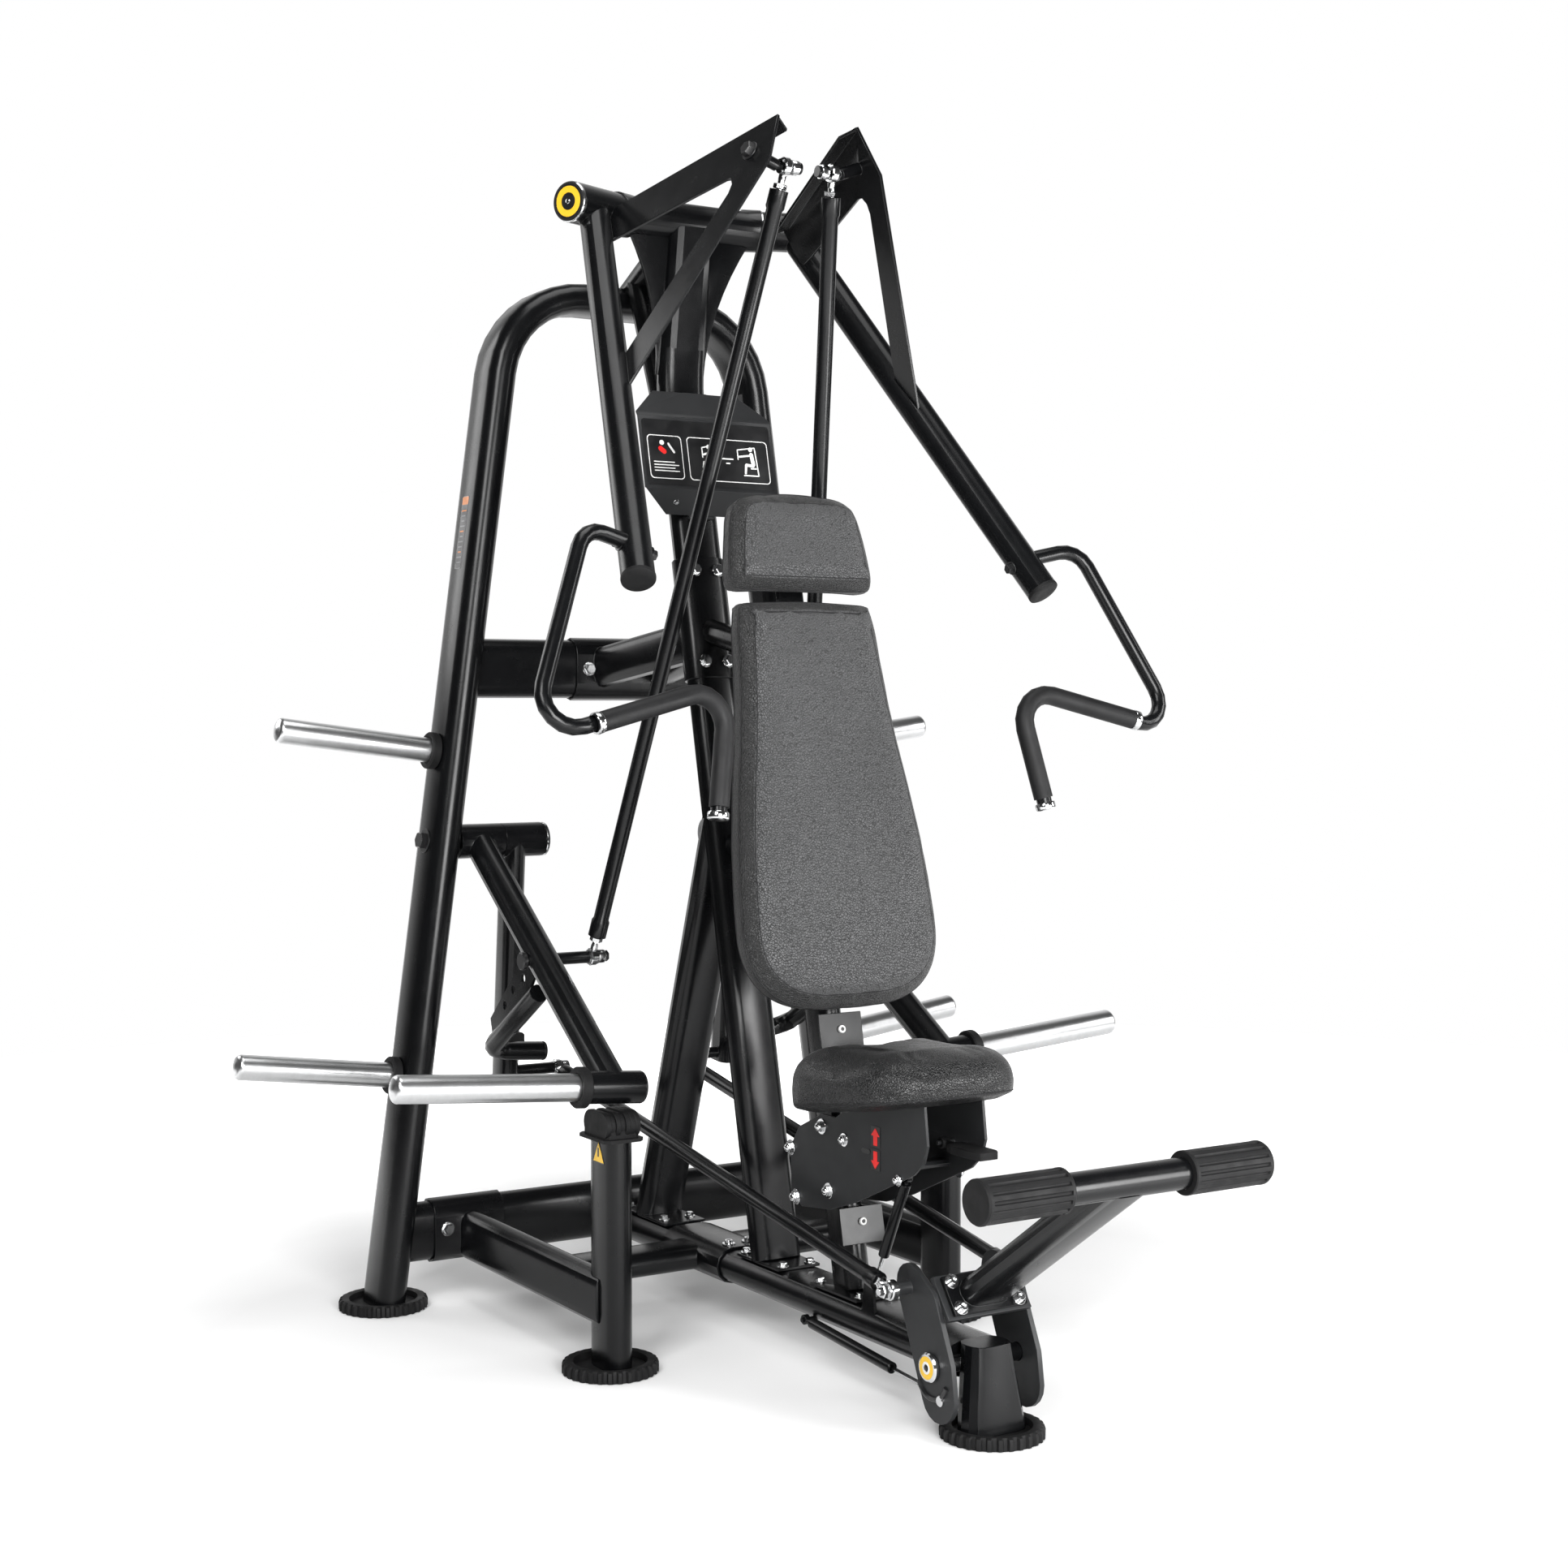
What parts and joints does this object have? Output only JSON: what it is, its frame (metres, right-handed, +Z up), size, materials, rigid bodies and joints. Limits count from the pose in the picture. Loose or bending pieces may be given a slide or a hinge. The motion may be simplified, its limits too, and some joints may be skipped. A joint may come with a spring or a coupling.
{
  "type": "chest press machine",
  "caption": "Plate-loaded seated chest press with converging overhead arms, weight horns, foot start-assist pedal and height-adjustable seat.",
  "frame": {"origin": "on the floor under the middle of the overall footprint", "axes": "+Z up; +Y towards the rear arch; the user sits facing -Y; +X is to the left hand of the seated user"},
  "size_m": [1.702, 1.733, 2.2602],
  "materials": {
    "powder_coat": "satin black powder coat",
    "plate_coat": "satin dark grey powder coat",
    "chrome": "polished",
    "rubber": "matte",
    "pad_vinyl": "grained, satin",
    "seat_leather": "grained, semi-gloss"
  },
  "bodies": {
    "frame": {"rear_arch": "powder_coat", "rear_base_beam": "powder_coat", "upper_cross_beam": "powder_coat", "left_upper_horn": "chrome", "left_lower_horn": "chrome", "right_upper_horn": "chrome", "right_lower_horn": "chrome", "left_base_strut": "powder_coat", "right_base_strut": "powder_coat", "left_post": "powder_coat", "right_post": "powder_coat", "base_cross_ties": "powder_coat", "left_rear_foot": "rubber", "right_rear_foot": "rubber", "left_post_foot": "rubber", "right_post_foot": "rubber", "front_foot": "rubber", "front_leg": "powder_coat", "front_upright": "powder_coat", "rear_leg": "powder_coat", "t_bar": "powder_coat", "mast": "powder_coat", "top_link": "powder_coat", "mast_brace": "powder_coat", "mast_sleeve": "powder_coat", "backrest": "pad_vinyl", "headrest": "pad_vinyl", "backrest_frame": "powder_coat", "placard": "plate_coat", "left_bumper": "rubber", "right_bumper": "rubber", "main_base_beam": "powder_coat", "seat_post": "powder_coat"},
    "left_press": {"left_press_arm": "powder_coat", "left_handle": "powder_coat", "left_grip": "rubber"},
    "right_press": {"right_press_arm": "powder_coat", "right_handle": "powder_coat", "right_grip": "rubber"},
    "left_weight": {"left_weight_arm": "powder_coat", "left_front_horn": "chrome"},
    "right_weight": {"right_weight_arm": "powder_coat", "right_front_horn": "chrome"},
    "left_rod": {"left_tie_rod": "powder_coat"},
    "right_rod": {"right_tie_rod": "powder_coat"},
    "left_lever": {"left_assist_lever": "powder_coat"},
    "right_lever": {"right_assist_lever": "powder_coat"},
    "left_link": {"left_pedal_link": "powder_coat"},
    "right_link": {"right_pedal_link": "powder_coat"},
    "pedal": {"pedal_bracket": "plate_coat", "pedal_arm": "powder_coat", "left_foot_roller": "rubber", "right_foot_roller": "rubber"},
    "damper_tube": {"damper_cylinder": "powder_coat"},
    "damper_piston": {"damper_rod": "chrome"},
    "seat": {"seat_carriage": "plate_coat", "seat_pad": "seat_leather"},
    "release": {"release_lever": "rubber"},
    "gas_tube": {"gas_spring_cylinder": "powder_coat"},
    "gas_piston": {"gas_spring_rod": "chrome"}
  },
  "joints": [
    {"name": "left_press_hinge", "type": "hinge", "parent": "frame", "child": "left_press", "pos_m": [-0.149, 0.5105, 2.161], "axis": [-0.9134, -0.4067, -0.0175], "range_deg": [0, 22]},
    {"name": "left_weight_hinge", "type": "hinge", "parent": "frame", "child": "left_weight", "pos_m": [-0.34, 0.7745, 0.926], "axis": [-1, 0, 0], "range_deg": [0, 24.43]},
    {"name": "left_rod_hinge", "type": "hinge", "parent": "left_weight", "child": "left_rod", "pos_m": [-0.24, 0.4645, 0.714], "axis": [0.9934, 0.0174, -0.1137], "range_deg": [0, 20.57]},
    {"name": "right_press_hinge", "type": "hinge", "parent": "frame", "child": "right_press", "pos_m": [0.149, 0.5105, 2.161], "axis": [-0.9134, 0.4067, 0.0175], "range_deg": [0, 22]},
    {"name": "right_weight_hinge", "type": "hinge", "parent": "frame", "child": "right_weight", "pos_m": [0.34, 0.7745, 0.926], "axis": [-1, 0, 0], "range_deg": [0, 24.43]},
    {"name": "right_rod_hinge", "type": "hinge", "parent": "right_weight", "child": "right_rod", "pos_m": [0.24, 0.4645, 0.714], "axis": [0.9934, -0.0174, 0.1137], "range_deg": [0, 20.57]},
    {"name": "pedal_hinge", "type": "hinge", "parent": "frame", "child": "pedal", "pos_m": [0, -0.4625, 0.118], "axis": [1, 0, 0], "range_deg": [0, 18], "stiffness_Nm_per_rad": 60, "springref_deg": -114.59},
    {"name": "left_lever_hinge", "type": "hinge", "parent": "frame", "child": "left_lever", "pos_m": [-0.246, 0.7745, 0.926], "axis": [1, 0, 0], "range_deg": [-4.39, 0]},
    {"name": "left_link_hinge", "type": "hinge", "parent": "left_lever", "child": "left_link", "pos_m": [-0.145, 0.8135, 0.443], "axis": [1, 0, 0], "range_deg": [0, 3.56]},
    {"name": "right_lever_hinge", "type": "hinge", "parent": "frame", "child": "right_lever", "pos_m": [0.246, 0.7745, 0.926], "axis": [1, 0, 0], "range_deg": [-4.39, 0]},
    {"name": "right_link_hinge", "type": "hinge", "parent": "right_lever", "child": "right_link", "pos_m": [0.145, 0.8135, 0.443], "axis": [1, 0, 0], "range_deg": [0, 3.56]},
    {"name": "damper_hinge", "type": "hinge", "parent": "frame", "child": "damper_tube", "pos_m": [-0.066, -0.0355, 0.094], "axis": [1, 0, 0], "range_deg": [0, 0.718]},
    {"name": "damper_slide", "type": "slide", "parent": "damper_tube", "child": "damper_piston", "axis": [0, -0.9974, -0.0719], "range_m": [-0.0185, 0]},
    {"name": "seat_slide", "type": "slide", "parent": "frame", "child": "seat", "axis": [0, 0.2008, 0.9796], "range_m": [0, 0.08]},
    {"name": "gas_tube_hinge", "type": "hinge", "parent": "seat", "child": "gas_tube", "pos_m": [-0.034, -0.3095, 0.398], "axis": [1, 0, 0], "range_deg": [-10, 0]},
    {"name": "gas_piston_hinge", "type": "hinge", "parent": "frame", "child": "gas_piston", "pos_m": [-0.034, -0.2095, 0.19], "axis": [1, 0, 0], "range_deg": [-10, 0]},
    {"name": "release_hinge", "type": "hinge", "parent": "seat", "child": "release", "pos_m": [0.036, -0.3175, 0.452], "axis": [-1, 0, 0], "range_deg": [0, 12], "stiffness_Nm_per_rad": 3, "springref_deg": -34.38}
  ],
  "couplings": [
    {"joint": "left_weight_hinge", "follows": "left_press_hinge", "ratio": 1.1057},
    {"joint": "left_rod_hinge", "follows": "left_press_hinge", "ratio": 0.9304},
    {"joint": "right_weight_hinge", "follows": "right_press_hinge", "ratio": 1.1057},
    {"joint": "right_rod_hinge", "follows": "right_press_hinge", "ratio": 0.9304},
    {"joint": "left_lever_hinge", "follows": "pedal_hinge", "ratio": -0.2385},
    {"joint": "left_link_hinge", "follows": "pedal_hinge", "ratio": 0.1924},
    {"joint": "right_lever_hinge", "follows": "pedal_hinge", "ratio": -0.2385},
    {"joint": "right_link_hinge", "follows": "pedal_hinge", "ratio": 0.1924},
    {"joint": "damper_hinge", "follows": "pedal_hinge", "ratio": 0.0371},
    {"joint": "damper_slide", "follows": "pedal_hinge", "m_per_rad": -0.0567},
    {"joint": "gas_tube_hinge", "follows": "seat_slide", "rad_per_m": -2.1475},
    {"joint": "gas_piston_hinge", "follows": "seat_slide", "rad_per_m": -2.1475}
  ]
}
